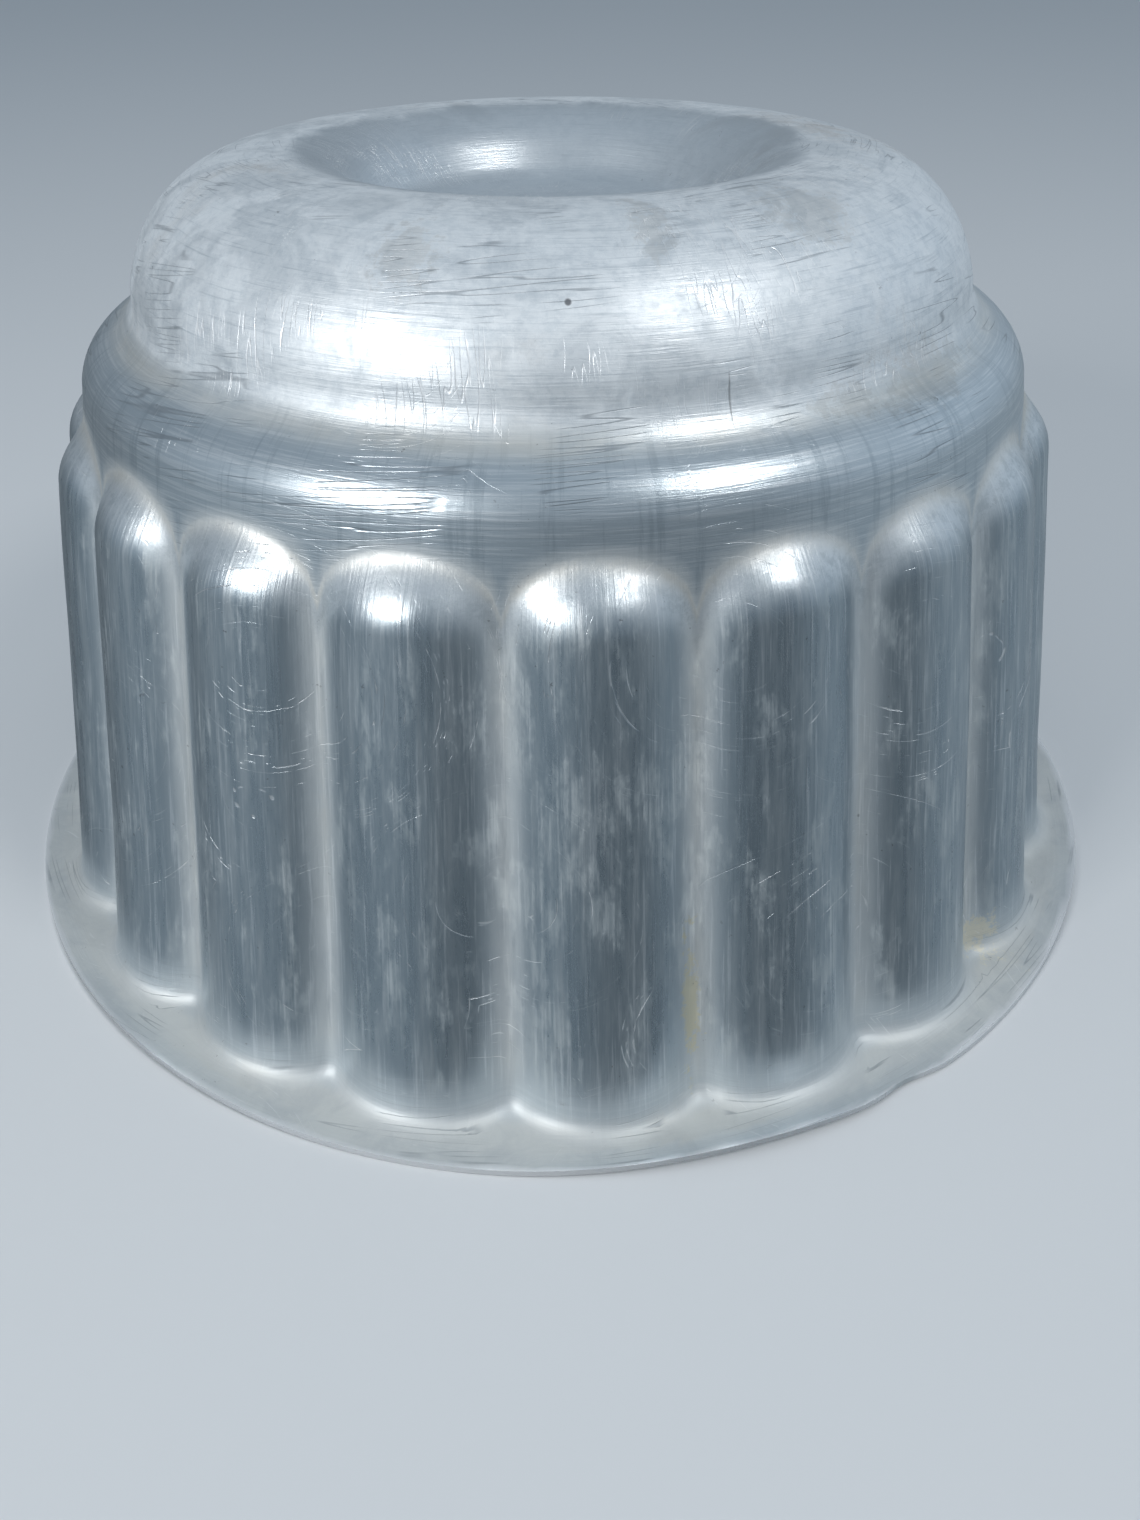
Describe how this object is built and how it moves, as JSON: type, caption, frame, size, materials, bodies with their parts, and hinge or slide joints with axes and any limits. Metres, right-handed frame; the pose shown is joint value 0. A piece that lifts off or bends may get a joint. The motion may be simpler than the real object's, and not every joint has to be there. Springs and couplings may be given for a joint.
{
  "type": "fluted pudding mould",
  "caption": "Round one-piece metal pudding mould with a flat flange, fluted wall, stepped crown and a blind dish in its top, stored mouth down.",
  "frame": {"origin": "on the axis of the mould, in the plane of the mouth that it stands on", "axes": "+Z along the axis, from the mouth up to the crown; +X and -Y each pass through the crest of a flute"},
  "size_m": [0.17, 0.17, 0.1019],
  "materials": {
    "pressed_aluminium": "worn satin, scratched, with grey stains on the crown"
  },
  "bodies": {
    "root": {"mould_shell": "pressed_aluminium"}
  },
  "joints": []
}
